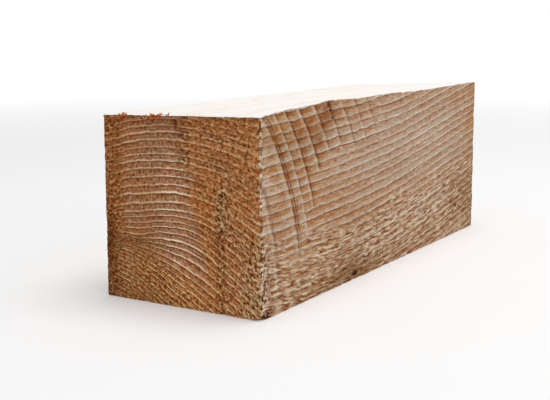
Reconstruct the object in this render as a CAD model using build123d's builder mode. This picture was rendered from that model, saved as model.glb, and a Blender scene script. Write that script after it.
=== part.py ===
from build123d import *
import os

# A short squared timber lying on its base: length along X, width along Y, base at Z = 0.
# All sizes are in millimetres.
timber_length = 275.0  # from sawn end to sawn end
timber_width = 97.0  # from side to side
front_height = 101.5  # from base to top along the front arris
back_height = 97.0  # the same along the back arris, so the top falls a little to the back
arris_radius = 0.8  # rounding along the four long arrises
end_bevel = 0.5  # broken edge round both sawn ends
worn_depth_near = 2.0  # how far the top of the near end is worn down at its front corner
worn_depth_far = 0.3  # the same at its back corner
worn_run = 30.0  # how far the wear runs along the front arris before it fades out
chip_length = 5.0  # knocked front foot of the near end, measured along the timber
chip_width = 4.0  # the same, measured across the end
chip_height = 3.5  # the same, measured up the end arris

near_end_x = -timber_length / 2
front_side_y = -timber_width / 2
back_side_y = timber_width / 2

with BuildPart() as sawn_timber:
    with BuildSketch(Plane.YZ.offset(near_end_x)):
        with BuildLine():
            Polyline(
                (front_side_y, 0),
                (back_side_y, 0),
                (back_side_y, back_height),
                (front_side_y, front_height),
                close=True,
            )
        make_face()
    extrude(amount=timber_length)

    fillet(sawn_timber.edges().filter_by(Axis.X), arris_radius)
    ends = sawn_timber.faces().filter_by(Plane.YZ)
    chamfer(ends.edges(), end_bevel)

    # The wear is one shallow flat across the top of the near end, deepest at the front.
    worn_front = Vector(near_end_x, front_side_y, front_height - worn_depth_near)
    worn_back = Vector(near_end_x, back_side_y, back_height - worn_depth_far)
    worn_fade = Vector(near_end_x + worn_run, front_side_y, front_height)
    worn_normal = (worn_fade - worn_front).cross(worn_back - worn_front)
    worn_plane = Plane(origin=worn_front, x_dir=worn_fade - worn_front, z_dir=worn_normal)
    split(bisect_by=worn_plane, keep=Keep.BOTTOM)

    # The knocked foot is a small three-sided flat off the corner that touches the ground.
    chip_along = Vector(near_end_x + chip_length, front_side_y, 0)
    chip_across = Vector(near_end_x, front_side_y + chip_width, 0)
    chip_up = Vector(near_end_x, front_side_y, chip_height)
    chip_normal = (chip_up - chip_along).cross(chip_across - chip_along)
    chip_plane = Plane(origin=chip_along, x_dir=chip_across - chip_along, z_dir=chip_normal)
    split(bisect_by=chip_plane, keep=Keep.BOTTOM)

sawn_timber.part.label = "sawn_timber"

os.makedirs("parts", exist_ok=True)
export_step(sawn_timber.part, "parts/sawn_timber.step")
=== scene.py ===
import math
from types import SimpleNamespace
import bpy
import numpy as np
from mathutils import Matrix, Vector


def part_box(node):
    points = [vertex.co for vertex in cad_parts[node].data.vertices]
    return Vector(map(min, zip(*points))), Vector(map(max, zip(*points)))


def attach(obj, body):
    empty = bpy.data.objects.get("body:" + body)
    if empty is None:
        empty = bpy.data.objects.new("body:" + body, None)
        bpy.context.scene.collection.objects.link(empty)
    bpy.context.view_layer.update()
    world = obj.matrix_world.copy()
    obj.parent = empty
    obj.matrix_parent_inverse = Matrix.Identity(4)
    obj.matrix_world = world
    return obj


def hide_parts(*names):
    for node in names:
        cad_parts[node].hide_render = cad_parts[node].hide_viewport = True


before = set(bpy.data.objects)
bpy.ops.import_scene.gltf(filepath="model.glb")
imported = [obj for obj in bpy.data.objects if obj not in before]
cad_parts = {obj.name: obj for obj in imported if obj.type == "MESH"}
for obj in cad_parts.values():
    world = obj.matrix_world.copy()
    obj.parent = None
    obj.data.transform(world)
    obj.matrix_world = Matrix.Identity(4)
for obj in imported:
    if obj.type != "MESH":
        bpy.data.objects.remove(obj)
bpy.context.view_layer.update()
nodeLow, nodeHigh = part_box("sawn_timber")
print("frame loaded, solid from", tuple(nodeLow), "to", tuple(nodeHigh))

mm = 0.001


def latticeValue(ix, iy, iz, seed):
    mask = 0xFFFFFFFF
    h = (ix * 374761393 + iy * 668265263 + iz * 974634777 + seed * 1274126177) & mask
    h = ((h ^ (h >> 13)) * 1103515245) & mask
    h = ((h ^ (h >> 15)) * 668265263) & mask
    return ((h ^ (h >> 16)) & 0xFFFF) / 65535.0


def softNoise(a, b, c, seed):  # smooth value noise from -1 to 1, one bump per unit
    a, b, c = np.broadcast_arrays(a, b, c)
    ia, ib, ic = (np.floor(t).astype(np.int64) for t in (a, b, c))
    fa, fb, fc = a - ia, b - ib, c - ic
    fa, fb, fc = (t * t * t * (t * (t * 6 - 15) + 10) for t in (fa, fb, fc))
    total = np.zeros(a.shape)
    for da in (0, 1):
        for db in (0, 1):
            for dc in (0, 1):
                weight = (fa if da else 1 - fa) * (fb if db else 1 - fb) * (fc if dc else 1 - fc)
                total += weight * latticeValue(ia + da, ib + db, ic + dc, seed)
    return total * 2 - 1


def layeredNoise(a, b, c, seed, layers=3):
    total, scale, size = 0.0, 1.0, 0.0
    for n in range(layers):
        total = total + scale * softNoise(a * 2 ** n + 7.3 * n, b * 2 ** n, c * 2 ** n - 3.1 * n, seed + n)
        size += scale
        scale *= 0.5
    return total / size


def easeStep(value, low, high):  # 0 below low, 1 above high, smooth between
    t = np.clip((value - low) / (high - low), 0, 1)
    return t * t * (3 - 2 * t)


def easeDown(value, low, high):  # 1 below low, 0 above high
    return 1 - easeStep(value, low, high)


def hump(value, middle, reach):
    return np.exp(-((value - middle) / reach) ** 2)


# limits are None for everywhere, two numbers for a hump, or four for a rise and a fall (None leaves one out)
def span(value, limits):
    if limits is None:
        return 1.0
    if len(limits) == 2:
        return hump(value, *limits)
    a, b, c, d = limits
    return (1.0 if a is None else easeStep(value, a, b)) * (1.0 if c is None else easeDown(value, c, d))


rings = {                       # the log's growth rings, seen from the near end
    "guidesApart": 20.0,        # hundredths of the width, from one place in the rows below to the next
    "guides": {                 # ring: hundredths down the end, at places from the back side to the front
        -3: (-7, -8, -8, -8, -5, -3),
        0: (6, 4, 3, 5, 8, 12),
        6: (29, 26, 25, 27, 32, 41),
        12: (53, 52, 50, 51, 58, 69),
        16: (61, 65, 62.5, 64.5, 76, 89.5),
        18: (63, 67.5, 68.5, 72.5, 84, 97),
        20: (65, 70, 75, 83, 94, 105.5),
        23: (68, 75, 83, 94, 106, 118),
        26: (74, 82, 93, 105, 118, 131),
        30: (83, 93, 105, 118, 132, 146),
        35: (94, 105, 118, 132, 147, 162),
        48: (126, 138, 151, 165, 180, 195),
    },
    "grainRise": 0.19,          # how steeply the rings climb along the timber
    "grainRiseFrom": 120.0,     # mm, over which the climb sets in
    "grainDip": (145, 42, 1.0),  # mm from the near end, half length, depth of a dip in the climb
    "wander": 0.35,             # slow waves of the rings, in hundredths
    "uneven": 0.22,             # how much the rings differ in width
    "leftDrop": (13, 4, 0.7),   # place from the back side, half width, how far the rings rise towards it
    "rayBend": (42, 0.004),     # place from the back side where the rays stand upright, then their lean
    "ringZero": 60.0,           # what guide ring 0 is numbered, so that the numbers fall on the way down
    "tearSpacing": 3.3,         # mm, from row to row in torn wood
    "tearSag": (70, 45, 0.06),  # mm along, half length, how steeply the rows sink there
    "tearLean": (0.13, 90.0),   # slope of single fibres off their row, and the mm over which it fades
}


def throughPoints(place, heights, apart):  # smooth curve through evenly spaced heights
    before, after = 2 * heights[0] - heights[1], 2 * heights[-1] - heights[-2]
    heights = np.array((before, *heights, after), float)
    n = np.clip(np.floor(place / apart).astype(int), 0, len(heights) - 4)
    f = place / apart - n
    a, b, c, d = (heights[n + k] for k in range(4))
    return b + 0.5 * f * (c - a + f * (2 * a - 5 * b + 4 * c - d + f * (3 * (b - c) + d - a)))


def climbAt(s):  # how far the rings have climbed, at mm from the near end
    p = rings
    return p["grainRise"] * (s - p["grainRiseFrom"] * np.arctan(s / p["grainRiseFrom"]))


def ringFields(at):  # which ring each point lies in, and how far across the rings' rays it is
    p, s, u, v = rings, at.s, at.u, at.v
    middle, reach, depth = p["grainDip"]
    level = v + climbAt(s) - depth * hump(s, middle, reach)
    middle, reach, depth = p["leftDrop"]
    level += depth * np.tanh((u - middle) / reach)
    waves = softNoise(s / 55, at.w / 24, at.h / 22, 11) + 0.4 * softNoise(s / 20, at.w / 7, at.h / 7, 12)
    level += p["wander"] * waves
    rows = [(number, throughPoints(u, heights, p["guidesApart"])) for number, heights in p["guides"].items()]
    count = np.full(np.shape(level), float(rows[0][0]))
    for (first, upper), (second, lower) in zip(rows, rows[1:]):
        count += (second - first) * np.clip((level - upper) / (lower - upper), 0, 1)
    count -= p["uneven"] * softNoise(count / 1.9, 0 * count, 0 * count, 13)
    upright, lean = p["rayBend"]
    return p["ringZero"] - count, u + lean * (u - upright) * v


def tearRows(s, h):  # rows of torn fibres low on the long faces, and the slivers that lean across them
    p = rings
    middle, reach, slope = p["tearSag"]
    sag = slope * reach * np.tanh((s - middle) / reach)
    wave = 0.8 * softNoise(s / 22, h / 8, 0 * s, 17) + 0.35 * softNoise(s / 9, h / 4, 0 * s, 18)
    slope, fade = p["tearLean"]
    rows = (h - climbAt(s) + sag + wave) / p["tearSpacing"]
    return rows, rows + slope * fade * np.tanh(s / fade) / p["tearSpacing"]


block = {
    "length": 275.0,            # mm
    "steps": (1.18 * mm, 1.45 * mm, 1.05 * mm),  # of the mesh along, across and up
    "rim": (0.3 * mm, 0.7 * mm, 1.3 * mm, 2.1 * mm),  # closer cuts beside each arris
    "arrisRadius": 0.7 * mm,
    "arrisWander": 0.35 * mm,
    "arrisChips": 0.6 * mm,
    "ringRelief": 0.10 * mm,
    "sawRelief": 0.22 * mm,
    "tornRelief": 0.42 * mm,
    "fibreRelief": 0.07 * mm,
    "fuzzRelief": 0.26 * mm,
    "smoothDepth": 0.22 * mm,   # how far the smooth part of an end lies below its fuzz
    "pitDepth": 0.9 * mm,
    "wornFront": 2.0 * mm,
    "wornBack": 0.3 * mm,
    "wornRun": 30.0 * mm,
    "chip": (5.0 * mm, 4.0 * mm, 3.5 * mm),
    "topFall": 4.5 * mm,        # how much lower the top is at the back arris
    "backLean": 0.7 * mm,       # how far the back side leans in at its top and out at its foot
    # mm from the near end, half length, rise of the front arris
    "bows": ((70, 22, 1.5), (130, 28, 0.7), (200, 30, -0.3), (2.5, 2.5, -0.4)),
    "sawRadius": 163.8,         # of the round saw, in hundredths of the height
    "sawCentreBelow": 5.0,      # how far its centre lies below the base
    "sawTopHeight": 103.0,      # how far above its centre the marks are placed
    # mm along the timber, the last one far past the end
    "sawMarks": (-40, -31, -20, 3, 14, 23.5, 37, 52, 66, 81, 96, 110, 125, 139, 700),
    "firstMark": 3,             # how many of them lie before the timber's end
    # mm along the side, then hundredths of its height at which the marks fade out
    "markFeet": ((0, 20, 30, 40, 50, 58, 66, 95, 120, 135), (3, 6, 16, 28, 42, 56, 66, 68, 76, 90)),
    "sawHook": 0.16,            # how far a ring bends beside a saw mark, in rings
    "grainClimb": 0.2,          # slope of the fibres at the far end
    # hundredths from the back side, strength
    "rustTufts": ((12.8, 1.0), (32.4, 1.0), (37.6, 1.0), (44.0, 0.2)),
    # mm along the side and hundredths up it, then half lengths along and up, then strength
    "stains": ((64, 96, 3.5, 2.2, 1.0), (61, 87.5, 3.5, 1.8, 1.0), (57, 81, 3.0, 1.6, 0.9),
               (45.5, 87, 3.5, 1.4, 0.7), (25.5, 66.5, 3.0, 1.4, 0.9), (28, 62, 2.2, 1.3, 0.7),
               (46, 66.5, 3.0, 1.2, 0.6), (64, 91, 10.0, 7.0, 0.4), (47, 90, 9.0, 5.0, 0.2),
               (69, 93, 5.0, 4.5, 0.5), (2, 3, 6.0, 5.0, 1.0), (0, 14, 3.0, 8.0, 1.0),
               (27, 19, 3.0, 1.5, 0.8), (22, 57, 3.0, 3.0, 0.4), (34, 46, 3.0, 4.0, 0.5),
               (92, 10, 12.0, 4.0, 0.5), (250, 33, 12.0, 6.0, 0.5)),
    "palePatches": ((3, 80, 4.0, 4.0, 0.9), (5, 66, 4.5, 3.0, 0.7), (3, 57, 4.0, 3.5, 0.3),
                    (45, 36, 3.0, 1.5, 0.5), (40, 27, 2.5, 1.0, 0.5)),
    "pits": ((86, 8, 2.4, 1.2, 0.8), (98, 3.5, 3.4, 1.4, 1.0), (244, 19, 2.8, 1.4, 1.0),
             (268, 19, 2.2, 1.0, 0.7), (67, 97.5, 3.5, 1.6, 0.5), (69, 95, 1.9, 1.1, 0.62),
             (71.5, 91, 1.9, 0.9, 0.64), (67, 89.5, 2.2, 1.0, 0.4), (3, 1.5, 5.5, 2.0, 1.0),
             (1, 9, 1.6, 2.2, 0.7), (3.5, 17, 1.5, 1.6, 0.7), (0.5, 24, 1.4, 2.0, 0.7),
             (11, 19, 1.4, 0.8, 0.6)),
    # span in mm along the side, span in hundredths down it, how much lighter
    "sideTones": (((95, 42), (78, 96, None, None), -0.37), (None, (84, 96, None, None), -0.12),
                  ((215, 235, None, None), (56, 64, 84, 92), -0.2), ((None, None, 60, 75), (17, 8), -0.2),
                  ((66, 12), (None, None, 8, 16), -0.22), ((252, 272, None, None), None, -0.12),
                  ((100, 38), (64, 14), -0.12), ((195, 34), (31, 9), 0.15), ((7, 8), (30, 9), 0.15),
                  ((27, 9), (95, 6), 0.2), ((44, 9), (4, 6), 0.15), ((245, 26), (43, 7), -0.12),
                  ((75, 14), (30, 6), 0.08), ((12, 9), (12, 6), -0.08), ((9, 9), (39, 6), 0.06),
                  ((27, 9), (78, 8), 0.04)),
    # spans in hundredths from the back side and down the end, how much more
    "endTones": (((47, 11), (10, 26, None, None), 0.26), ((None, None, 3, 12), (44, 58, None, None), -0.46),
                 ((62, 72, 90, 97), (76, 88, None, None), 0.16), ((62, 10), (60, 75, None, None), 0.22),
                 (None, (None, None, 3, 11), -0.22), ((28, 12), (66, 6), -0.2), ((2, 6), (70, 12), -0.24),
                 ((76, 5), (74, 90, None, None), 0.13)),
    "endWarmth": ((None, None, -0.65), ((45, 60, None, None), None, 0.65),
                  ((None, None, 8, 16), None, -0.35), ((27, 10), (85, 6), 0.35)),
    "endLines": (((None, None, 10, 15), None, -0.7), ((None, None, 10, 15), (55, 75, None, None), 0.35),
                 ((52, 66, None, None), (None, None, 40, 70), -0.45)),
}


def gradedCuts(low, high, step, rim):
    count = max(2, round((high - low - 2 * rim[-1]) / step) + 1)
    inner = np.linspace(low + rim[-1], high - rim[-1], count)
    near = low + np.array((0.0,) + rim[:-1])
    far = high - np.array(tuple(reversed(rim[:-1])) + (0.0,))
    return np.concatenate((near, inner, far))


def shellGrid(cutsX, cutsY, cutsZ):  # closed box of quads, all faces outward
    nx, ny, nz = len(cutsX), len(cutsY), len(cutsZ)
    onShell = np.ones((nx, ny, nz), bool)
    onShell[1:-1, 1:-1, 1:-1] = False
    index = np.full((nx, ny, nz), -1, np.int64)
    places = np.argwhere(onShell)
    index[onShell] = np.arange(len(places))
    points = np.stack((cutsX[places[:, 0]], cutsY[places[:, 1]], cutsZ[places[:, 2]]), 1)

    def sheet(grid, flip):
        a, b, c, d = grid[:-1, :-1], grid[1:, :-1], grid[1:, 1:], grid[:-1, 1:]
        quad = np.stack((a, b, c, d), -1).reshape(-1, 4)
        return quad[:, ::-1] if flip else quad

    sheets = (sheet(index[:, :, 0], True), sheet(index[:, 0, :], False), sheet(index[:, -1, :], True),
              sheet(index[0, :, :], True), sheet(index[-1, :, :], False), sheet(index[:, :, -1], False))
    finish = (0, 0, 0, 1, 1, 2)  # sides, ends, top
    finishes = np.concatenate([np.full(len(q), f) for q, f in zip(sheets, finish)])
    return points, np.concatenate(sheets), finishes


def placesOn(base, low, high):  # where each point of the plain box lies
    centre, half = (low + high) / 2, (high - low) / 2
    local = base - centre
    gap = half - np.abs(local)  # how far each point is from the faces
    at = SimpleNamespace(centre=centre, half=half, local=local, toArris=np.sort(gap, axis=1)[:, 1] / mm)
    below, above = (gap < 1e-7) & (local < 0), (gap < 1e-7) & (local > 0)
    at.nearEnd, at.onFront, at.onBase = below.T
    at.farEnd, at.onBack, at.onTop = above.T
    at.ends = np.where(at.nearEnd | at.farEnd, 1.0, 0.0)
    at.s = (base[:, 0] - low[0]) / mm  # mm from the near end
    # hundredths of the section, from the front side and the base, then from the back side and the top
    at.w, at.h = (100 * (base[:, n] - low[n]) / (high[n] - low[n]) for n in (1, 2))
    at.u, at.v = 100 - at.w, 100 - at.h
    at.along = np.where(at.onBack, block["length"] - at.s, at.s)
    at.up = np.where(at.onTop | at.onBase, at.w, at.h)
    return at


def sawFields(at):  # the round saw's marks on each long face, counted in whole numbers on a mark
    p, along, up = block, at.along, at.up
    reach = p["sawRadius"] ** 2
    shift = np.sqrt(reach - (up + p["sawCentreBelow"]) ** 2) - math.sqrt(reach - p["sawTopHeight"] ** 2)
    numbers = np.arange(len(p["sawMarks"])) - p["firstMark"] + 0.0
    marks = np.interp(along - shift, p["sawMarks"], numbers)
    foot = np.interp(along, *p["markFeet"]) + 7 * softNoise(at.s / 9, at.h / 9, at.w / 9, 24)
    fainter, gone = 1 - 0.5 * easeStep(along, 60, 100), easeDown(along, 118, 145)
    mask = easeStep(up, foot, foot + 15) * fainter * gone
    mask *= np.where(at.onTop & ~at.onFront, 0.3, 1)
    atUpperEdge = easeDown(along, -2, 6) * easeStep(up, 45, 60)
    mask *= 1 - 0.5 * atUpperEdge
    highUp, pastFirst, pastFourth = easeStep(up, 56, 70), easeStep(along, 9, 15), easeStep(along, 62, 72)
    # strength of the painted shade behind the saw marks' steps
    brown = (0.35 + 0.65 * highUp) * (0.35 + 0.65 * pastFirst) * (1 - 0.6 * pastFourth)
    fine = span(up, (22, 30, 62, 70)) * span(along, (3, 9, 24, 32))
    return {"sawPhase": marks, "sawMask": mask, "sawBrown": brown, "fineMarks": fine}


def tornField(at):  # torn wood low on the front, and in patches on the faces that aren't seen
    s, w, h = at.s, at.w, at.h
    tornTop = 26 + 21 * s / block["length"] + 7 * easeDown(s, 5, 26)
    tornTop += 6 * softNoise(s / 30, h / 12, 0 * s, 21) + 4 * softNoise(s / 8, h / 4, 0 * s, 22)
    patches = easeStep(layeredNoise(s / 60, w / 30, h / 30, 23), 0.05, 0.3)
    return np.where(at.onFront, easeStep(tornTop - h, -9, 8), np.where(at.onTop, 0.25 * patches, patches))


def endFields(at, ring):  # the smooth part of the sawn ends, the step beside it where its shadow is painted, and the coarse patches
    u, v = at.u, at.v
    # the smooth part's right edge steps in and out from ring to ring
    number = np.floor(ring).astype(np.int64)
    jitter = latticeValue(number, 0 * number, 0 * number, 31) - 0.5
    right = 50 + 9 * easeStep(v, 27, 33) + 9 * easeStep(v, 52, 82) + 6 * jitter
    right += 1.5 * softNoise(u / 3, v / 2, 0 * u, 36)
    foot = 57 + 0.53 * (u - 13) + 3 * softNoise(u / 9, v / 9, 0 * u, 32)
    smooth = easeDown(u, right - 3.5, right + 4) * easeStep(u, 9.5, 17) * easeDown(v, foot - 4, foot + 12)
    # where the painted shadow of the step beside the smooth part falls
    upperStep = hump(u, right + 2.4, 3.0) * easeDown(v, 22, 34)
    lowerStep = hump(u, 76, 2.6) * easeStep(v, 34, 40)
    column = hump(u, 77, 4.0) * easeStep(v, 33, 39) * (1 - 0.8 * easeStep(v, 52, 68))
    lowRight = easeStep(u, 84, 94) * easeStep(v, 55, 75)
    lowMiddle = easeDown(u, 48, 66) * easeStep(v - 0.3 * u, 52, 64)
    lowLeft = easeDown(u, 7, 13) * easeStep(v, 45, 58)
    coarse = np.maximum.reduce((column, 0.62 * lowRight, 0.28 * lowMiddle, 0.4 * lowLeft)) * at.ends
    return {"smoothCut": smooth, "stepShadeMask": upperStep + 0.85 * lowerStep, "coarse": coarse}


def shareOf(rows, across, down):
    return 1 + sum(change * span(across, reach) * span(down, drop) for reach, drop, change in rows)


def toneFields(at, smooth):  # how grey, warm and light each part is, and how plainly its rings show
    p, s, u, v, along, up = block, at.s, at.u, at.v, at.along, at.up
    lowLeft = easeStep(v - 0.3 * u, 44, 60) * easeDown(u, 52, 66)
    onSide = shareOf(p["sideTones"], along, 100 - up)
    onEnd = shareOf(p["endTones"], u, v) + 0.12 * lowLeft

    sideGrey = 1.2 * hump(along, 170, 78) * hump(up, 72, 22)
    sideGrey += 0.4 * layeredNoise(s / 40, at.w / 9, at.h / 9, 33)
    endGrey = 0.8 * np.maximum(easeStep(u, 18, 34), easeStep(v, 32, 44))
    endGrey += 0.5 * layeredNoise(u / 9, v / 6, 0 * u, 37)
    sideAmber = 1 - 0.6 * easeStep(along, 45, 75) - 0.4 * easeStep(along, 85, 125)
    sideAmber *= 1 - 0.5 * easeStep(v, 20, 34)
    endAmber = 0.55 * easeStep(v, 24, 40) * span(u, (14, 30, 74, 84)) + 0.7 * lowLeft

    shown = shareOf(p["endLines"], u, v)
    shown *= 0.62 + 0.38 * np.maximum(1 - smooth, easeStep(u, 30, 42) * easeStep(v, 18, 32))
    shown *= 1 - 0.35 * easeStep(u, 78, 90) * easeDown(v, 40, 60)
    shown *= 1 + 0.3 * layeredNoise(u / 6, v / 3, 0 * u, 38) + 0.25 * lowLeft
    onEnds = at.ends > 0
    brightness = np.where(onEnds, onEnd, np.where(at.onTop, 1, onSide))
    return {"brightness": brightness, "endTone": shareOf(p["endWarmth"], u, v), "lineShow": shown,
            "greyed": np.where(onEnds, np.clip(endGrey, 0, 1), sideGrey),
            "amber": np.where(onEnds, np.clip(endAmber, 0, 1) * (1 - 0.7 * smooth), sideAmber)}


def spots(at, places, faces):
    total = 0 * at.s
    for a, b, halfLong, halfHigh, strength in places:
        total = np.maximum(total, strength * hump(at.along, a, halfLong) * hump(at.up, b, halfHigh))
    return np.where(faces, total, 0)


def spotFields(at, torn):  # stains, pale patches, pits and the strips beside the arrises
    p, bothSides = block, at.onFront | at.onBack
    randomPits = easeStep(layeredNoise(at.s / 6.5, at.w / 2.4, at.h / 2.4, 34), 0.5, 0.66) * torn
    lowDown = easeStep(at.v, 50, 72)
    nearEdge = np.where(at.nearEnd, hump(at.w, 0, 2 + 3 * lowDown), 0)
    nearEdge = np.where(at.onFront, hump(at.s, 0, 2.2 + 5 * lowDown), nearEdge)
    return {"stain": spots(at, p["stains"], bothSides), "paleSpot": spots(at, p["palePatches"], at.onFront),
            "pit": np.maximum(spots(at, p["pits"], bothSides), 0.35 * randomPits) * (1 - at.ends),
            "edge": hump(at.toArris, 0, 0.9), "nearEdge": nearEdge}


def shapeOf(at, f, ringRidge, low, high):  # the box with its arrises worn and its surface in relief
    p, s, w, h, local = block, at.s, at.w, at.h, at.local
    radius = p["arrisRadius"] + p["arrisWander"] * layeredNoise(s / 16, w / 16, h / 16, 41)
    radius = np.maximum(radius, 0.25 * mm)[:, None]
    core = np.clip(local, -(at.half - radius), at.half - radius)
    lean = local - core
    normal = lean / np.linalg.norm(lean, axis=1)[:, None]

    fibre = layeredNoise(s / 6.5, w / 1.8, f["tears"] * 1.5, 51)
    speck = layeredNoise(s / 2.0, w / 2.0, h / 2.0, 61)
    torn, smooth, offEnds = f["torn"], f["smoothCut"], 1 - at.ends
    scallop = f["sawPhase"] - np.floor(f["sawPhase"]) - 0.5
    relief = p["ringRelief"] * ringRidge * (1 - 0.6 * torn) * np.where(at.onTop, 0.4, 1)
    relief += p["sawRelief"] * scallop * f["sawMask"]
    ragged = 0.75 * fibre + 0.35 * softNoise(s / 3.5, w / 1.1, h / 1.1, 55)
    relief += p["tornRelief"] * torn * ragged * offEnds
    relief += p["fibreRelief"] * fibre * offEnds - p["pitDepth"] * f["pit"]
    relief += at.ends * (p["fuzzRelief"] * (1 - 0.85 * smooth) * speck - p["smoothDepth"] * smooth)

    # chips along the arrises, more of them round the near end
    nearArris = easeDown(s, 2, 5)
    chipNoise = layeredNoise(s / 5, w / 5, h / 5, 71)
    chipNoise += 0.45 * nearArris * softNoise(s / 1.9, w / 1.9, h / 1.9, 73)
    chips = easeStep(chipNoise, 0.22, 0.6) * hump(at.toArris, 0, 1.1) * (1 + 0.8 * nearArris)
    chips *= p["arrisChips"] * (1 - 0.75 * easeStep(w, 90, 96) * easeDown(s, 4, 10))
    relief = relief * easeStep(at.toArris, -0.2, 0.8) - chips
    relief += 0.1 * mm * softNoise(s / 2.6, w / 2.6, h / 2.6, 72) * hump(at.toArris, 0, 0.9)
    shape = core + normal * radius + normal * relief[:, None] + at.centre

    # the worn top of the near end and the knocked foot, as in the solid
    x, y, z = low
    backY, topZ = high[1:]
    worn = (x, y, topZ - p["wornFront"]), (x, backY, topZ - p["wornBack"]), (x + p["wornRun"], y, topZ)
    flatTo(shape, *worn, 0.25 * mm * speck)
    cx, cy, cz = p["chip"]
    flatTo(shape, (x + cx, y, z), (x, y + cy, z), (x, y, z + cz), 0.5 * mm * speck)
    outOfTrue(shape, low, high)
    shape[:, 2] = np.maximum(shape[:, 2], z)  # nothing reaches under the base
    return shape


def flatTo(shape, a, b, c, rough):  # presses what stands over the flat through three points down to it
    a, b, c = Vector(a), Vector(b), Vector(c)
    n = np.array((c - a).cross(b - a).normalized())
    over = (shape - np.array(a)) @ n - rough
    shape -= np.maximum(over, 0)[:, None] * n


def outOfTrue(shape, low, high):  # a section that isn't quite square and a front arris that bows
    p = block
    s = (shape[:, 0] - low[0]) / mm
    across, up = ((shape[:, n] - low[n]) / (high[n] - low[n]) for n in (1, 2))
    rise = sum(lift * mm * hump(s, place, reach) for place, reach, lift in p["bows"])
    shape[:, 2] += up ** 3 * (rise * (1 - across) ** 2) - up * across * p["topFall"]
    shape[:, 1] += across * p["backLean"] * (1 - 2 * up)


def standingFields(at, f, ringRidge):  # where fibres stand up
    s, u, h, toArris, nearEnd = at.s, at.u, at.h, at.toArris, at.nearEnd
    offBase = easeStep(h, 1.5, 3.0)
    splinters = f["torn"] * (1 - at.ends) * ~at.onTop * offBase
    splinters *= easeStep(layeredNoise(s / 14, at.w / 9, h / 9, 35), -0.35, 0.35)
    splinters *= easeStep(np.minimum(s, block["length"] - s), 3, 7) * easeStep(toArris, 1.0, 3.5)
    splinters *= 1 - at.onBack * easeDown(s, 15, 30)
    tufts = at.ends * offBase * (1 - 0.97 * f["smoothCut"]) * (1 + 0.8 * f["coarse"])
    tufts *= 0.35 + np.clip(ringRidge, 0, 1)
    tufts *= np.where(nearEnd & (at.v < 2.5), 2.2, easeStep(toArris, 0.2, 1.2))
    onArris = hump(h, 99.5, 0.9) * (nearEnd | at.onTop & (s < 1.5))
    arrisTufts = [strength * hump(u, place, 1.2) * onArris for place, strength in block["rustTufts"]]
    return {"splinters": splinters, "tufts": tufts, "arrisTufts": np.maximum.reduce(arrisTufts)}


def buildBlock():
    p, low, high = block, np.array(nodeLow), np.array(nodeHigh)
    cuts = [gradedCuts(low[n], high[n], p["steps"][n], p["rim"]) for n in range(3)]
    base, quads, finishes = shellGrid(*cuts)
    at = placesOn(base, low, high)
    ring, rayArc = ringFields(at)
    inRing = ring - np.floor(ring)
    ringRidge = hump(inRing, 0.12, 0.14) - 0.6 * hump(inRing, 0.93, 0.08)
    tears, slivers = tearRows(at.along, at.h)
    fields = {"ring": ring, "rayArc": rayArc, "tears": tears, "slivers": slivers, "torn": tornField(at)}
    fields.update(sawFields(at))
    fields.update(endFields(at, ring))
    fields.update(toneFields(at, fields["smoothCut"]))
    fields.update(spotFields(at, fields["torn"]))
    fields.update(standingFields(at, fields, ringRidge))

    mesh = bpy.data.meshes.new("sawnBlock")
    mesh.from_pydata(shapeOf(at, fields, ringRidge, low, high).tolist(), [], quads.tolist())
    mesh.update()
    mesh.shade_smooth()
    mesh.polygons.foreach_set("material_index", finishes.astype(np.int32))
    for name, values in fields.items():
        layer = mesh.attributes.new(name, "FLOAT", "POINT")
        layer.data.foreach_set("value", np.asarray(values, np.float32))
    climb = p["grainClimb"] * (1 - 1 / (1 + (at.s / 120) ** 2))
    way = np.stack((np.where(at.nearEnd, -1.0, 1.0), 0 * at.s, np.where(at.ends > 0, 0, climb)), 1)
    layer = mesh.attributes.new("fibreWay", "FLOAT_VECTOR", "POINT")
    layer.data.foreach_set("vector", np.asarray(way, np.float32).ravel())
    piece = bpy.data.objects.new("sawnBlock", mesh)
    bpy.context.scene.collection.objects.link(piece)
    return piece


def addNode(tree, kind, place=(0, 0), **settings):
    node = tree.nodes.new(kind)
    node.location = place
    for name, value in settings.items():
        setattr(node, name, value)
    return node


def feed(tree, source, target):
    if isinstance(source, (int, float, tuple)):
        target.default_value = source
    else:
        tree.links.new(source, target)


def calc(tree, operation, a, b=None, c=None, clamp=False):
    node = addNode(tree, "ShaderNodeMath", operation=operation, use_clamp=clamp)
    for n, value in enumerate((a, b, c)):
        if value is not None:
            feed(tree, value, node.inputs[n])
    return node.outputs[0]


def times(tree, a, b, clamp=False):
    return calc(tree, "MULTIPLY", a, b, clamp=clamp)


def timesPlus(tree, a, b, c):  # a times b, and c on top
    return calc(tree, "MULTIPLY_ADD", a, b, c)


def remap(tree, value, fromLow, fromHigh, toLow=0.0, toHigh=1.0, smooth=True):
    node = addNode(tree, "ShaderNodeMapRange", interpolation_type="SMOOTHSTEP" if smooth else "LINEAR")
    for n, item in enumerate((value, fromLow, fromHigh, toLow, toHigh)):
        feed(tree, item, node.inputs[n])
    return node.outputs[0]


def between(tree, value, a, b, c, d):  # rises from a to b and falls from c to d
    return times(tree, remap(tree, value, a, b), remap(tree, value, c, d, 1.0, 0.0))


def blendColour(tree, factor, first, second, mode="MIX"):
    node = addNode(tree, "ShaderNodeMix", data_type="RGBA", blend_type=mode)
    feed(tree, factor, node.inputs[0])
    feed(tree, first, node.inputs[6])
    feed(tree, second, node.inputs[7])
    return node.outputs[2]


def layCoats(tree, base, look, coats):  # colours laid one over the other, each by its own amount
    for name, amount in coats:
        shade, strength, *mode = look[name]
        base = blendColour(tree, times(tree, amount, strength), base, look["colours"][shade], *mode)
    return base


def readField(tree, name):
    return addNode(tree, "ShaderNodeAttribute", attribute_name=name).outputs["Fac"]


def objectPlace(tree):
    return addNode(tree, "ShaderNodeTexCoord").outputs["Object"]


def split(tree, vector):
    node = addNode(tree, "ShaderNodeSeparateXYZ")
    feed(tree, vector, node.inputs[0])
    return node.outputs


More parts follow.
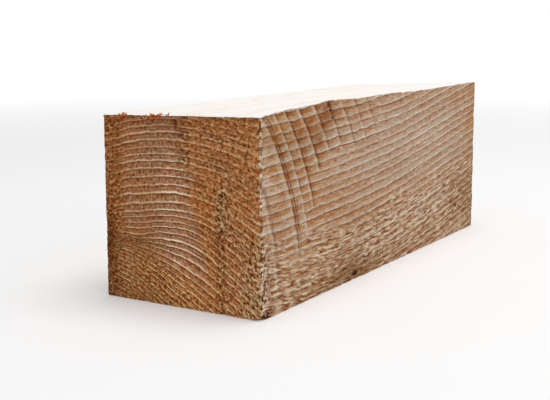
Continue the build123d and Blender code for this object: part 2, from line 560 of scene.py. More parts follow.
def join(tree, x, y, z=0.0):
    node = addNode(tree, "ShaderNodeCombineXYZ")
    for n, value in enumerate((x, y, z)):
        feed(tree, value, node.inputs[n])
    return node.outputs[0]


def noiseOf(tree, vector, scale, detail=3.0, roughness=0.55):
    node = addNode(tree, "ShaderNodeTexNoise")
    for name, value in {"Vector": vector, "Scale": scale, "Detail": detail, "Roughness": roughness}.items():
        feed(tree, value, node.inputs[name])
    return node.outputs["Fac"]


def stretched(tree, vector, factors):
    node = addNode(tree, "ShaderNodeMapping")
    feed(tree, vector, node.inputs["Vector"])
    node.inputs["Scale"].default_value = factors
    return node.outputs[0]


def chanceOf(tree, number):  # a random value for each whole number
    node = addNode(tree, "ShaderNodeTexWhiteNoise", noise_dimensions="1D")
    feed(tree, calc(tree, "FLOOR", number), node.inputs["W"])
    return node.outputs["Value"]


def colour(r, g, b):  # from the 0 to 255 values of a screen colour
    def linear(c):
        c /= 255
        return c / 12.92 if c <= 0.04045 else ((c + 0.055) / 1.055) ** 2.4
    return (linear(r), linear(g), linear(b), 1.0)


def newGroup(name, inputs, outputs):
    tree = bpy.data.node_groups.new(name, "ShaderNodeTree")
    for label, value in inputs.items():
        tree.interface.new_socket(label, in_out="INPUT", socket_type="NodeSocketFloat").default_value = value
    for label in outputs:
        tree.interface.new_socket(label, in_out="OUTPUT", socket_type="NodeSocketFloat")
    given, made = addNode(tree, "NodeGroupInput", (-900, 0)), addNode(tree, "NodeGroupOutput", (900, 0))
    return tree, given.outputs, made.inputs


grains = {
    "Streaks": (90, 1500, 1500),  # per metre along, across and up
    # per metre along, per ring, per metre across, detail, roughness
    "Hairs": (30.0, 6.0, 200.0, 3.0, 0.6),
    "Flecks": (240.0, 3.6, 500.0, 3.0, 0.6),
    "Slivers": (135.0, 2.2, 350.0, 2.5, 0.6),
    "Drift": (18.0, 0.8, 60.0, 2.0, 0.5),
    # per hundredth across the rays, per ring, per metre along, detail, roughness
    "Specks": (0.42, 2.8, 400.0, 3.0, 0.65),
}


def fibreGroup():  # fibres, flecks and specks that lie along the rings, whatever their slope
    outputs = ("Streaks", "Hairs", "Flecks", "Slivers", "Specks", "Drift")
    tree, given, made = newGroup("woodFibre", {"Count": 0.0, "Across": 0.0}, outputs)
    place = objectPlace(tree)
    x, y = split(tree, place)[:2]
    feed(tree, noiseOf(tree, stretched(tree, place, grains["Streaks"]), 1.0, 4.0, 0.65), made["Streaks"])
    for name in outputs[1:]:
        along, perRing, deep, detail, roughness = grains[name]
        first, last = (given["Across"], x) if name == "Specks" else (x, y)
        onRings = times(tree, first, along), times(tree, given["Count"], perRing), times(tree, last, deep)
        feed(tree, noiseOf(tree, join(tree, *onRings), 1.0, detail, roughness), made[name])
    return tree


ringLook = {                    # rise and fall of each line, in parts of a ring
    "rise": (0.0, 0.09),
    "edge": (0.1, 0.2),
    "dark": (0.78, 0.93, 0.97, 1.0),
    "secondDark": (0.4, 0.47, 0.49, 0.56),
    "secondPale": (0.52, 0.6, 0.62, 0.72),
    "slowWaves": (60, 220, 220),    # per metre
    "quickWaves": (170, 620, 620),
}


def ringGroup():  # a pale band, a thin dark line and a faint second line to each growth ring
    p = ringLook
    tree, given, made = newGroup("growthRings", {"Count": 0.0, "Break": 0.0, "Width": 0.3},
                                 ("Light", "Edge", "Dark", "Ramp"))
    place = objectPlace(tree)
    slow = calc(tree, "SUBTRACT", noiseOf(tree, stretched(tree, place, p["slowWaves"]), 1.0, 2.0), 0.5)
    quick = calc(tree, "SUBTRACT", noiseOf(tree, stretched(tree, place, p["quickWaves"]), 1.0, 3.0, 0.6), 0.5)
    count = timesPlus(tree, quick, given["Break"], timesPlus(tree, slow, 0.35, given["Count"]))
    tone = chanceOf(tree, count)
    inRing = calc(tree, "FRACT", count)
    width = times(tree, given["Width"], timesPlus(tree, tone, 0.6, 0.7))
    rise = remap(tree, inRing, *p["rise"])
    fall = remap(tree, inRing, times(tree, width, 0.5), times(tree, width, 1.35), 1.0, 0.0)
    light = times(tree, times(tree, rise, fall), timesPlus(tree, tone, 0.45, 0.65))
    inSomeRings = remap(tree, tone, 0.45, 0.65)
    secondPale = times(tree, between(tree, inRing, *p["secondPale"]), inSomeRings)
    feed(tree, timesPlus(tree, secondPale, 0.5, light), made["Light"])
    crisp = times(tree, rise, remap(tree, inRing, *p["edge"], 1.0, 0.0))
    feed(tree, times(tree, crisp, timesPlus(tree, tone, 0.8, 0.35)), made["Edge"])
    dark = times(tree, between(tree, inRing, *p["dark"]), timesPlus(tree, tone, -0.6, 1.05))
    secondDark = between(tree, inRing, *p["secondDark"])
    feed(tree, timesPlus(tree, secondDark, remap(tree, tone, 0.35, 0.7, 0.0, 0.6), dark), made["Dark"])
    # from the dark side of a ring to its pale side
    feed(tree, calc(tree, "SUBTRACT", 1.0, inRing), made["Ramp"])
    return tree


sawLook = {                     # rise and fall of each line, in parts of the way from mark to mark
    "line": (0.0, 0.06, 0.09, 0.22),
    "secondLine": (0.22, 0.28, 0.31, 0.4),
    "crest": (0.76, 0.9, 0.96, 1.0),
    "shadeRise": (0.0, 0.05),
    "shadeFall": (0.1, 0.85),
    "hook": (0.35, 1.0),
}


def sawGroup():  # the round saw's marks: a dark line, partly painted shadow in the step's groove, painted brown shade behind it and a pale painted highlight on the crest before it
    p = sawLook
    tree, given, made = newGroup("sawMarks", {"Count": 0.0, "Amount": 0.0, "Brown": 1.0},
                                 ("Line", "Shade", "Crest", "Hook"))
    place = objectPlace(tree)
    waver = calc(tree, "SUBTRACT", noiseOf(tree, place, 240.0, 3.0), 0.5)
    patch = noiseOf(tree, place, 120.0, 3.0, 0.6)
    area = noiseOf(tree, place, 75.0, 1.0)
    count = timesPlus(tree, waver, 0.26, given["Count"])
    inMark = calc(tree, "FRACT", count)
    amount = times(tree, given["Amount"], timesPlus(tree, chanceOf(tree, count), 0.4, 0.65))
    line = times(tree, between(tree, inMark, *p["line"]), remap(tree, patch, 0.36, 0.56, 0.2, 1.15))
    fromFirst = calc(tree, "ABSOLUTE", calc(tree, "SUBTRACT", given["Count"], 0.2))
    onFirst = remap(tree, fromFirst, 0.45, 0.55, 1.0, 0.0)
    line = timesPlus(tree, between(tree, inMark, *p["secondLine"]), onFirst, line)
    shadeRise = remap(tree, inMark, *p["shadeRise"])
    shade = times(tree, shadeRise, remap(tree, inMark, *p["shadeFall"], 1.0, 0.0, smooth=False))
    shade = times(tree, shade, remap(tree, patch, 0.36, 0.6, 0.3, 1.4))
    shade = times(tree, shade, times(tree, given["Brown"], remap(tree, area, 0.36, 0.58, 0.35, 1.4)))
    for name, value in (("Line", line), ("Shade", shade), ("Crest", between(tree, inMark, *p["crest"]))):
        feed(tree, times(tree, value, amount, clamp=True), made[name])
    feed(tree, times(tree, remap(tree, inMark, *p["hook"]), amount), made["Hook"])
    return tree


def warmGroup():  # turns a brightness into red, green and blue factors that darken towards brown
    tree, given, made = newGroup("warmShade", {"Brightness": 1.0}, ("Red", "Green", "Blue"))
    for name, power in (("Red", 0.75), ("Green", 1.06), ("Blue", 1.5)):
        feed(tree, calc(tree, "POWER", given["Brightness"], power), made[name])
    return tree


def placeGroup(tree, group, **values):
    node = addNode(tree, "ShaderNodeGroup")
    node.node_tree = group
    for name, value in values.items():
        feed(tree, value, node.inputs[name])
    return node.outputs


def warmed(tree, warmShade, base, brightness):
    shares = placeGroup(tree, warmShade, Brightness=brightness)
    joined = addNode(tree, "ShaderNodeCombineColor")
    for name in ("Red", "Green", "Blue"):
        feed(tree, shares[name], joined.inputs[name])
    return blendColour(tree, 1.0, base, joined.outputs[0], "MULTIPLY")


def finishWood(tree, base, roughness, height, depth):
    bump = addNode(tree, "ShaderNodeBump", (250, -300))
    for name, value in {"Strength": 1.0, "Distance": depth, "Height": height}.items():
        feed(tree, value, bump.inputs[name])
    shader = addNode(tree, "ShaderNodeBsdfPrincipled", (500, 0))
    wood = {"Base Color": base, "Roughness": roughness, "Normal": bump.outputs[0], "Specular IOR Level": 0.08}
    for name, value in wood.items():
        feed(tree, value, shader.inputs[name])
    feed(tree, shader.outputs[0], addNode(tree, "ShaderNodeOutputMaterial", (800, 0)).inputs[0])


def emptyMaterial(name):
    material = bpy.data.materials.new(name)
    material.use_nodes = True
    material.node_tree.nodes.clear()
    return material, material.node_tree


sideWood = {
    "colours": {
        "golden": colour(190, 144, 100),
        "grey": colour(191, 158, 130),
        "amber": colour(255, 241, 206),
        "cream": colour(211, 198, 177),
        "pale": colour(236, 227, 210),
        "dark": colour(146, 88, 52),
        "rust": colour(176, 96, 48),
        "sawBrown": colour(140, 74, 22),
        "sawLine": colour(106, 50, 8),
        "tornCream": colour(238, 223, 198),
        "tornDark": colour(122, 64, 28),
        "stain": colour(150, 66, 8),
        "pit": colour(50, 10, 0),
        "endBrown": colour(112, 60, 24),
    },
    # coats in the order they are laid: colour and strength
    "warmth": ("amber", 1.0, "MULTIPLY"),
    "paleHairs": ("cream", 0.4),
    "rustHairs": ("rust", 0.55),
    "rustFlecks": ("rust", 0.6),
    "ringDark": ("dark", 0.9),
    "ringLight": ("cream", 0.5),
    "ringEdge": ("pale", 0.7),
    "paleFlecks": ("cream", 0.55),
    # painted shade behind each saw mark's step, a painted highlight on the crest before it, and the mark's
    # dark line, partly painted shadow in its groove
    "sawShade": ("sawBrown", 0.72),
    "sawCrestHighlight": ("cream", 0.95),
    "sawLine": ("sawLine", 0.68),
    # painted highlight on the fine saw ridges and painted shade in their grooves
    "fineRidgeHighlight": ("cream", 0.1),
    "fineGrooveShade": ("dark", -0.1),
    "tornRust": ("rust", 1.0),
    "tornRows": ("tornCream", 0.8),
    # painted shade in the gaps and hollows of the torn wood
    "tornGapShade": ("tornDark", 0.85),
    "tornHollowShade": ("tornDark", 0.85),
    "tornSlivers": ("tornCream", 0.75),
    "ringsUnder": ("tornDark", 0.6),
    "ringsOver": ("tornCream", 0.45),
    "stains": ("stain", 1.0),
    "bleached": ("pale", 0.8),
    # pits: dark wood and painted shade inside the pits
    "pits": ("pit", 1.0),
    # pale worn wood and a painted highlight along the arrises
    "wornArrisAndHighlight": ("tornCream", 0.6),
    "endBlots": ("endBrown", 1.0),
    "endFlecks": ("tornCream", 1.0),
    "scuffedArris": ("stain", 0.7),
    "reliefDepth": 0.5 * mm,
}


def buildSideMaterial(fibre, ringLines, sawMarks, warmShade):
    p = sideWood
    material, tree = emptyMaterial("sawnSide")
    names = ("torn", "edge", "nearEdge", "rayArc", "sawPhase")
    torn, edge, nearEdge, across, sawPhase = (readField(tree, name) for name in names)
    saw = placeGroup(tree, sawMarks, Count=sawPhase, Amount=readField(tree, "sawMask"),
                     Brown=readField(tree, "sawBrown"))
    hooked = timesPlus(tree, saw["Hook"], -block["sawHook"], readField(tree, "ring"))
    grain = placeGroup(tree, fibre, Count=hooked, Across=across)
    slivers = placeGroup(tree, fibre, Count=readField(tree, "slivers"), Across=across)
    hairs, flecks, specks, sliver = grain["Hairs"], grain["Flecks"], grain["Specks"], slivers["Slivers"]
    lines = placeGroup(tree, ringLines, Count=hooked, Break=0.24, Width=0.5)
    rows = placeGroup(tree, ringLines, Count=readField(tree, "tears"), Break=0.35, Width=0.4)
    sound = timesPlus(tree, torn, -0.55, 1.0)
    light = times(tree, times(tree, lines["Light"], sound), remap(tree, grain["Drift"], 0.3, 0.62, 0.55, 1.1))
    crisp = times(tree, times(tree, lines["Edge"], sound), remap(tree, flecks, 0.36, 0.54, 0.4, 1.2))
    dark = times(tree, times(tree, lines["Dark"], sound), remap(tree, grain["Drift"], 0.4, 0.7, 1.1, 0.6))
    ripple = calc(tree, "SINE", times(tree, sawPhase, 52.0))  # fine marks between two saw marks, painted lighter on their ridges and darker in their grooves
    ripple = times(tree, ripple, readField(tree, "fineMarks"))

    grey = remap(tree, readField(tree, "greyed"), 0.0, 0.75)
    base = blendColour(tree, grey, p["colours"]["golden"], p["colours"]["grey"])
    base = layCoats(tree, base, p, (
        ("warmth", readField(tree, "amber")),
        ("paleHairs", remap(tree, hairs, 0.52, 0.72)),
        ("rustHairs", remap(tree, hairs, 0.48, 0.28)),
        ("rustFlecks", remap(tree, flecks, 0.48, 0.36)),
        ("ringDark", dark),
        ("ringLight", light),
        ("ringEdge", crisp),
        ("paleFlecks", remap(tree, flecks, 0.53, 0.65)),
        # painted shade and painted highlight at the saw marks' steps, then their dark lines, partly painted
        # shadow
        ("sawShade", times(tree, saw["Shade"], timesPlus(tree, light, -0.7, 1.0))),
        ("sawCrestHighlight", times(tree, saw["Crest"], timesPlus(tree, light, 0.5, 0.5), clamp=True)),
        ("sawLine", saw["Line"]),
        # painted highlight on the fine ridges, painted shade in their grooves
        ("fineRidgeHighlight", ripple),
        ("fineGrooveShade", ripple)))

    # torn wood: pale rows of splinters, painted shade in the gaps and hollows beside them, rusty fibres and
    # the rings underneath
    patchy = times(tree, torn, remap(tree, slivers["Drift"], 0.3, 0.6, 0.6, 1.0))
    rust = times(tree, remap(tree, hairs, 0.5, 0.4), remap(tree, sliver, 0.5, 0.42))
    row = times(tree, rows["Light"], remap(tree, sliver, 0.4, 0.56))
    gap = times(tree, rows["Dark"], remap(tree, sliver, 0.6, 0.45))
    through = times(tree, remap(tree, split(tree, objectPlace(tree))["X"], -0.06, 0.0), torn)
    under, over = (times(tree, through, times(tree, lines[name], remap(tree, sliver, low, high)))
                   for name, low, high in (("Dark", 0.62, 0.5), ("Light", 0.38, 0.52)))
    base = layCoats(tree, base, p, (
        ("tornRust", times(tree, rust, timesPlus(tree, torn, 0.45, 0.2))),
        ("tornRows", times(tree, row, patchy, clamp=True)),
        ("tornGapShade", times(tree, gap, patchy, clamp=True)),
        ("tornHollowShade", times(tree, remap(tree, sliver, 0.45, 0.36), patchy)),
        ("tornSlivers", times(tree, remap(tree, sliver, 0.55, 0.63), patchy)),
        ("ringsUnder", under),
        ("ringsOver", over)))

    bleached = times(tree, readField(tree, "paleSpot"), remap(tree, specks, 0.36, 0.56), clamp=True)
    # dark wood and painted shade inside the pits, which are also pressed into the mesh
    hole = times(tree, readField(tree, "pit"), remap(tree, flecks, 0.3, 0.65, 0.4, 1.5))
    blots = noiseOf(tree, objectPlace(tree), 440.0, 1.0)
    base = layCoats(tree, base, p, (
        ("stains", times(tree, readField(tree, "stain"), remap(tree, flecks, 0.3, 0.6), clamp=True)),
        ("bleached", bleached),
        ("pits", remap(tree, hole, 0.2, 0.75)),
        # pale wear and painted highlight along the arrises
        ("wornArrisAndHighlight", times(tree, edge, remap(tree, specks, 0.47, 0.6))),
        ("endBlots", times(tree, nearEdge, remap(tree, blots, 0.5, 0.42))),
        ("endFlecks", times(tree, nearEdge, remap(tree, blots, 0.53, 0.6))),
        ("scuffedArris", times(tree, edge, remap(tree, specks, 0.45, 0.36)))))
    fine = calc(tree, "ADD", grain["Streaks"], 0.5)
    ramp = times(tree, calc(tree, "SUBTRACT", lines["Ramp"], 0.45), sound)
    fine = timesPlus(tree, ramp, 0.16, fine)
    base = warmed(tree, warmShade, base, times(tree, fine, readField(tree, "brightness")))

    height = timesPlus(tree, dark, -0.2, times(tree, light, 0.15))
    height = timesPlus(tree, grain["Streaks"], 0.6, height)
    height = timesPlus(tree, times(tree, sliver, torn), 2.2, height)
    height = timesPlus(tree, saw["Line"], -0.4, height)
    height = timesPlus(tree, ripple, 0.12, height)
    finishWood(tree, base, timesPlus(tree, flecks, 0.2, 0.72), height, p["reliefDepth"])
    return material


endWood = {
    "colours": {
        "bright": colour(225, 151, 88),
        "dull": colour(192, 120, 60),
        "smooth": colour(195, 131, 82),
        "smoothGrey": colour(183, 131, 93),
        "cream": colour(252, 220, 178),
        "dark": colour(118, 64, 34),
        "border": colour(160, 74, 32),
        "speckPale": colour(255, 218, 164),
        "speckDark": colour(86, 30, 3),
        "step": colour(84, 36, 10),
        "chalk": colour(255, 222, 176),
        "amber": colour(255, 238, 206),
        "rosy": colour(255, 234, 228),
        "olive": colour(238, 255, 226),
    },
    # coats in the order they are laid: colour and strength
    "drifts": ("dark", 0.4),
    "darkRays": ("dark", 0.95),
    "paleRays": ("cream", 0.45),
    # painted shade in the low hollows between the pale rings
    "hollowShade": ("speckDark", 1.0),
    "ringDark": ("border", 0.8),
    # painted shade in the low specks of the fuzz
    "lowSpeckShade": ("speckDark", 0.85),
    "paleSpecks": ("speckPale", 0.75),
    # painted shadow beside the smooth part's step, and dark blots in the coarse patches
    "stepShadeAndBlots": ("step", 0.8),
    "chalkyFlecks": ("chalk", 0.55),
    "warmth": ("amber", 1.0, "MULTIPLY"),
    "rosyBlots": ("rosy", 1.0, "MULTIPLY"),
    "oliveBlots": ("olive", 0.3, "MULTIPLY"),
    "reliefDepth": 0.6 * mm,
}


def buildEndMaterial(fibre, ringLines, warmShade):
    p, shades = endWood, endWood["colours"]
    material, tree = emptyMaterial("sawnEnd")
    names = ("smoothCut", "coarse", "ring", "rayArc", "lineShow", "nearEdge")
    smooth, coarse, ring, across, shown, nearEdge = (readField(tree, name) for name in names)
    fuzz = calc(tree, "SUBTRACT", 1.0, smooth)
    grain = placeGroup(tree, fibre, Count=ring, Across=across)
    specks = grain["Specks"]
    lines = placeGroup(tree, ringLines, Count=ring, Break=timesPlus(tree, fuzz, 0.26, 0.14),
                       Width=timesPlus(tree, fuzz, 0.04, 0.26))
    light, dark, crisp = (times(tree, lines[name], shown) for name in ("Light", "Dark", "Edge"))
    # small marks on the smooth part, a little longer across the rings
    rays = noiseOf(tree, join(tree, times(tree, across, 0.62), times(tree, ring, 2.0)), 1.0, 3.0, 0.6)

    base = blendColour(tree, readField(tree, "endTone"), shades["dull"], shades["bright"])
    smoothTone = blendColour(tree, readField(tree, "greyed"), shades["smooth"], shades["smoothGrey"])
    base = blendColour(tree, smooth, base, smoothTone)
    # painted shade in the low hollows between the pale rings
    hollowShadeAmount = times(tree, calc(tree, "SUBTRACT", 1.0, light, clamp=True), remap(tree, specks, 0.62, 0.4))
    base = layCoats(tree, base, p, (
        ("drifts", remap(tree, grain["Drift"], 0.45, 0.3)),
        ("darkRays", times(tree, remap(tree, rays, 0.5, 0.36), smooth)),
        ("paleRays", times(tree, remap(tree, rays, 0.54, 0.68), smooth)),
        ("hollowShade", times(tree, hollowShadeAmount, timesPlus(tree, fuzz, 0.45, 0.1))),
        ("ringDark", dark)))
    pale = blendColour(tree, smooth, shades["speckPale"], shades["cream"])
    base = blendColour(tree, times(tree, light, remap(tree, specks, 0.4, 0.56, 0.3, 0.9)), base, pale)
    base = blendColour(tree, times(tree, crisp, timesPlus(tree, smooth, 0.5, 0.4)), base, pale)

    # pale specks on the high fuzz, and painted shade in the low specks
    bright, deep = (times(tree, remap(tree, timesPlus(tree, coarse, shift, specks), low, high), fuzz)
                    for shift, low, high in ((0.1, 0.56, 0.67), (-0.09, 0.45, 0.34)))
    blots = noiseOf(tree, objectPlace(tree), 420.0, 2.0, 0.6)
    # painted shadow of the step beside the smooth part, then dark blots in the coarse patches
    shadeAndBlots = times(tree, readField(tree, "stepShadeMask"), remap(tree, blots, 0.56, 0.46), clamp=True)
    shadeAndBlots = calc(tree, "MAXIMUM", shadeAndBlots, times(tree, coarse, remap(tree, blots, 0.45, 0.38)))
    chalky = times(tree, calc(tree, "MAXIMUM", coarse, nearEdge), remap(tree, blots, 0.53, 0.6), clamp=True)
    base = layCoats(tree, base, p, (
        ("lowSpeckShade", deep),
        ("paleSpecks", bright),
        ("stepShadeAndBlots", shadeAndBlots),
        ("chalkyFlecks", chalky),
        ("warmth", readField(tree, "amber")),
        ("rosyBlots", remap(tree, blots, 0.5, 0.38)),
        ("oliveBlots", remap(tree, blots, 0.54, 0.66))))
    fine = timesPlus(tree, grain["Streaks"], 1.2, 0.4)
    ramp = times(tree, calc(tree, "SUBTRACT", lines["Ramp"], 0.45), shown)
    fine = timesPlus(tree, ramp, timesPlus(tree, smooth, 0.3, 0.4), fine)
    base = warmed(tree, warmShade, base, times(tree, fine, readField(tree, "brightness")))

    height = timesPlus(tree, dark, -0.25, times(tree, light, 0.9))
    height = timesPlus(tree, times(tree, specks, fuzz), 1.8, height)
    height = timesPlus(tree, times(tree, rays, smooth), 0.7, height)
    finishWood(tree, base, timesPlus(tree, grain["Flecks"], 0.2, 0.76), height, p["reliefDepth"])
    return material


# the top face is painted near white: painted light for the strong light that falls on it, over faint peach
# grain
topWood = {
    "colours": {
        "cream": colour(255, 252, 248),
        "peach": colour(254, 245, 235),
        "line": colour(249, 232, 213),
    },
    "drifts": ("peach", 1.0),
    "ringDark": ("line", 0.6),
    "streaks": ("line", 0.5),
    "reliefDepth": 0.3 * mm,
}


def buildTopMaterial(fibre, ringLines):
    p = topWood
    material, tree = emptyMaterial("topPaintedLight")
    ring = readField(tree, "ring")
    grain = placeGroup(tree, fibre, Count=ring, Across=readField(tree, "rayArc"))
    lines = placeGroup(tree, ringLines, Count=ring, Break=0.3)
    # painted light: the top's near-white colour stands in for the light that falls on it
    base = layCoats(tree, p["colours"]["cream"], p, (
        ("drifts", remap(tree, grain["Drift"], 0.45, 0.7)),
        ("ringDark", lines["Dark"]),
        ("streaks", remap(tree, grain["Streaks"], 0.46, 0.34))))
    height = timesPlus(tree, grain["Streaks"], 0.8, times(tree, lines["Light"], 0.2))
    finishWood(tree, base, timesPlus(tree, grain["Flecks"], 0.2, 0.72), height, p["reliefDepth"])
    return material


fibres = {                      # by the field that says how thick they stand
    "splinters": {
        "piece": "tornSplinters",
        "material": "splinterWood",
        "colours": (colour(150, 92, 50), colour(204, 168, 126), colour(244, 230, 200)),
        "sizes": {"Density": 42e3, "Shortest": 2.5 * mm, "Longest": 8.0 * mm, "Thickness": 0.46 * mm,
                  "Lift": 0.08, "Spread": 0.08, "Both Ways": 1.0, "Seed": 5},
    },
    "tufts": {
        "piece": "endFuzz",
        "material": "fuzzWood",
        "colours": (colour(128, 72, 30), colour(206, 144, 90), colour(255, 218, 164)),
        "sizes": {"Density": 260e3, "Shortest": 0.35 * mm, "Longest": 1.0 * mm, "Thickness": 0.32 * mm,
                  "Lift": 0.0, "Spread": 0.75, "Both Ways": 0.0, "Seed": 8},
    },
    "arrisTufts": {
        "piece": "arrisTufts",
        "material": "rustWood",
        "colours": (colour(142, 60, 10), colour(204, 94, 22), colour(232, 142, 64)),
        "sizes": {"Density": 5.5e6, "Shortest": 0.7 * mm, "Longest": 2.0 * mm, "Thickness": 0.48 * mm,
                  "Lift": 0.8, "Spread": 1.0, "Both Ways": 0.0, "Seed": 3},
    },
}


def fibreTree(field, material):  # tapered fibres standing on a surface, thick where the field says
    tree = bpy.data.node_groups.new(field, "GeometryNodeTree")
    tree.interface.new_socket("Geometry", in_out="INPUT", socket_type="NodeSocketGeometry")
    for label in ("Density", "Shortest", "Longest", "Thickness", "Lift", "Spread", "Both Ways"):
        tree.interface.new_socket(label, in_out="INPUT", socket_type="NodeSocketFloat")
    tree.interface.new_socket("Seed", in_out="INPUT", socket_type="NodeSocketInt")
    tree.interface.new_socket("Geometry", in_out="OUTPUT", socket_type="NodeSocketGeometry")
    given = addNode(tree, "NodeGroupInput", (-1200, 0)).outputs

    def step(kind, inputs, **settings):
        node = addNode(tree, kind, **settings)
        for label, value in inputs.items():
            if isinstance(value, (str, bpy.types.Material)):
                node.inputs[label].default_value = value
            else:
                feed(tree, value, node.inputs[label])
        return node.outputs

    def named(label, kind="FLOAT"):
        return step("GeometryNodeInputNamedAttribute", {"Name": label}, data_type=kind)["Attribute"]

    def chance(low, high, offset):  # a number for each fibre
        seed = calc(tree, "ADD", given["Seed"], float(offset))
        return step("FunctionNodeRandomValue", {2: low, 3: high, "Seed": seed}, data_type="FLOAT")[1]

    def vector(operation, a, b):
        second = "Scale" if operation == "SCALE" else 1
        return step("ShaderNodeVectorMath", {0: a, second: b}, operation=operation)["Vector"]

    density = times(tree, named(field), given["Density"])
    spread = step("GeometryNodeDistributePointsOnFaces",
                  {"Mesh": given["Geometry"], "Density": density, "Seed": given["Seed"]},
                  distribute_method="RANDOM")

    side = calc(tree, "SUBTRACT", chance(0.0, 1.0, 1), times(tree, given["Both Ways"], 0.5))
    way = vector("SCALE", named("fibreWay", "FLOAT_VECTOR"), calc(tree, "SIGN", side))
    lift = times(tree, given["Lift"], chance(0.3, 1.3, 2))
    way = vector("ADD", way, vector("SCALE", spread["Normal"], lift))
    stray = join(tree, *(times(tree, given["Spread"], chance(-1.0, 1.0, 3 + n)) for n in range(3)))
    turn = step("FunctionNodeAlignRotationToVector", {"Vector": vector("ADD", way, stray)}, axis="Z")

    cone = step("GeometryNodeMeshCone", {"Vertices": 4, "Side Segments": 1, "Fill Segments": 1,
                                         "Radius Top": 0.25, "Radius Bottom": 1.0, "Depth": 1.0},
                fill_type="NGON")
    thick = times(tree, given["Thickness"], chance(0.6, 1.25, 6))
    size = join(tree, thick, thick, chance(given["Shortest"], given["Longest"], 7))
    stood = step("GeometryNodeInstanceOnPoints", {"Points": spread["Points"], "Instance": cone["Mesh"],
                                                  "Rotation": turn["Rotation"], "Scale": size})
    toned = step("GeometryNodeStoreNamedAttribute",
                 {"Name": "tone", "Geometry": stood["Instances"], "Value": chance(0.0, 1.0, 8)},
                 data_type="FLOAT", domain="INSTANCE")
    real = step("GeometryNodeRealizeInstances", {"Geometry": toned["Geometry"]})
    dressed = step("GeometryNodeSetMaterial", {"Geometry": real["Geometry"], "Material": material})
    feed(tree, dressed["Geometry"], addNode(tree, "NodeGroupOutput", (1200, 0)).inputs["Geometry"])
    return tree


def fibreMaterial(name, colours):
    material, tree = emptyMaterial(name)
    tone = readField(tree, "tone")
    base = blendColour(tree, remap(tree, tone, 0.0, 0.45), colours[0], colours[1])
    base = blendColour(tree, remap(tree, tone, 0.5, 1.0), base, colours[2])
    grain = noiseOf(tree, stretched(tree, objectPlace(tree), (300, 2500, 2500)), 1.0)
    base = blendColour(tree, 1.0, base, remap(tree, grain, 0.3, 0.7, 0.8, 1.2), "MULTIPLY")
    finishWood(tree, base, 0.85, grain, 0.1 * mm)
    return material


def growFibres(source, field):
    p = fibres[field]
    holder = bpy.data.objects.new("fibreHolder", source.data.copy())
    bpy.context.scene.collection.objects.link(holder)
    tree = fibreTree(field, fibreMaterial(p["material"], p["colours"]))
    modifier = holder.modifiers.new("fibres", "NODES")
    modifier.node_group = tree
    for item in tree.interface.items_tree:
        if item.in_out == "INPUT" and item.name in p["sizes"]:
            modifier[item.identifier] = p["sizes"][item.name]
    ready = holder.evaluated_get(bpy.context.evaluated_depsgraph_get())
    mesh = bpy.data.meshes.new_from_object(ready)
    mesh.name = p["piece"]
    holder.modifiers.remove(modifier)
    bpy.data.objects.remove(holder)
    grown = bpy.data.objects.new(p["piece"], mesh)
    bpy.context.scene.collection.objects.link(grown)
    triangles = sum(len(face.vertices) - 2 for face in mesh.polygons)
    print(p["piece"], len(mesh.polygons), "faces,", triangles, "triangles")
    return grown


piece = buildBlock()
fibre, ringLines, sawMarks, warmShade = fibreGroup(), ringGroup(), sawGroup(), warmGroup()
piece.data.materials.append(buildSideMaterial(fibre, ringLines, sawMarks, warmShade))
piece.data.materials.append(buildEndMaterial(fibre, ringLines, warmShade))
piece.data.materials.append(buildTopMaterial(fibre, ringLines))
print("block mesh", len(piece.data.vertices), "points,", len(piece.data.polygons), "faces")
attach(piece, "root")
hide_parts("sawn_timber")

for grown in [growFibres(piece, field) for field in fibres]:
    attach(grown, "root")


studio = {
    "cameraPlace": (-0.5401, -0.3100, 0.1447),
    "cameraYaw": 32.15,
    "cameraPitch": -9.99,
    "cameraRoll": -0.42,
    "lens": 67.09,
    "ambient": 0.45,
    "floorSize": 60.0,          # metres
    "floorColour": (0.82, 0.82, 0.82, 1),
    # metres from the middle where the glow starts and ends to rise, then how strong it is at both
    "floorGlow": (0.45, 2.2, 0.19, 0.75),
    "lampTarget": (0, 0, 0.05),
    # place, width in metres, power in watts
    "lamps": {"overheadSoftbox": ((0.1, -0.3, 1.6), 1.2, 14), "frontSoftbox": ((0.5, -1.5, 0.7), 1.0, 3)},
}


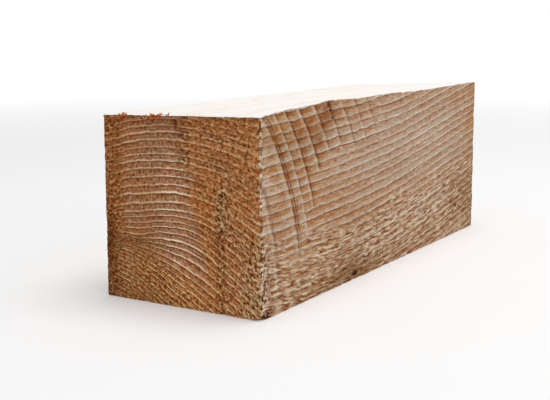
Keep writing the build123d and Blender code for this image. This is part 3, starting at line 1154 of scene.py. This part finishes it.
def buildFloor():
    p = studio
    half = p["floorSize"] / 2
    mesh = bpy.data.meshes.new("studioFloor")
    corners = [(-half, -half, 0), (half, -half, 0), (half, half, 0), (-half, half, 0)]
    mesh.from_pydata(corners, [], [(0, 1, 2, 3)])
    floor = bpy.data.objects.new("studioFloor", mesh)
    bpy.context.scene.collection.objects.link(floor)
    material = bpy.data.materials.new("paleFloor")
    material.use_nodes = True
    tree = material.node_tree
    away = addNode(tree, "ShaderNodeVectorMath", operation="LENGTH")
    feed(tree, objectPlace(tree), away.inputs[0])
    seen = addNode(tree, "ShaderNodeLightPath").outputs["Is Camera Ray"]
    glow = times(tree, seen, remap(tree, away.outputs["Value"], *p["floorGlow"]))
    looks = {"Base Color": p["floorColour"], "Roughness": 0.9, "Specular IOR Level": 0.0,
             "Emission Color": (1, 1, 1, 1), "Emission Strength": glow}
    for name, value in looks.items():
        feed(tree, value, tree.nodes["Principled BSDF"].inputs[name])
    mesh.materials.append(material)


def buildWorld():  # white to the camera and in mirrors, softer as a light on the block
    world = bpy.data.worlds.new("studioWorld")
    bpy.context.scene.world = world
    world.use_nodes = True
    tree = world.node_tree
    path = addNode(tree, "ShaderNodeLightPath").outputs
    seen = calc(tree, "MAXIMUM", path["Is Camera Ray"], path["Is Glossy Ray"])
    seen = calc(tree, "MAXIMUM", seen, path["Is Transmission Ray"])
    background = tree.nodes["Background"].inputs
    feed(tree, (1, 1, 1, 1), background["Color"])
    feed(tree, remap(tree, seen, 0.0, 1.0, studio["ambient"], 1.0, False), background["Strength"])


def addLamp(name, place, width, power):
    data = bpy.data.lights.new(name, "AREA")
    data.shape = "DISK"
    data.size = width
    data.energy = power
    lamp = bpy.data.objects.new(name, data)
    bpy.context.scene.collection.objects.link(lamp)
    lamp.location = place
    lamp.rotation_euler = (Vector(studio["lampTarget"]) - Vector(place)).to_track_quat("-Z", "Y").to_euler()


def buildCamera():
    p = studio
    yaw, pitch, roll = (math.radians(p[k]) for k in ("cameraYaw", "cameraPitch", "cameraRoll"))
    forward = Vector((math.cos(pitch) * math.cos(yaw), math.cos(pitch) * math.sin(yaw), math.sin(pitch)))
    right = forward.cross(Vector((0, 0, 1))).normalized()
    up = right.cross(forward)
    rolledRight = math.cos(roll) * right + math.sin(roll) * up
    rolledUp = math.cos(roll) * up - math.sin(roll) * right
    data = bpy.data.cameras.new("photoCamera")
    data.lens = p["lens"]
    data.sensor_width = 36
    data.clip_start = 0.01
    camera = bpy.data.objects.new("photoCamera", data)
    bpy.context.scene.collection.objects.link(camera)
    turn = Matrix((rolledRight, rolledUp, -forward)).transposed()
    camera.matrix_world = Matrix.Translation(p["cameraPlace"]) @ turn.to_4x4()
    bpy.context.scene.camera = camera


buildFloor()
buildWorld()
for name, settings in studio["lamps"].items():
    addLamp(name, *settings)
buildCamera()
bpy.context.scene.view_settings.view_transform = "Standard"
print("stage, lamps and camera placed")
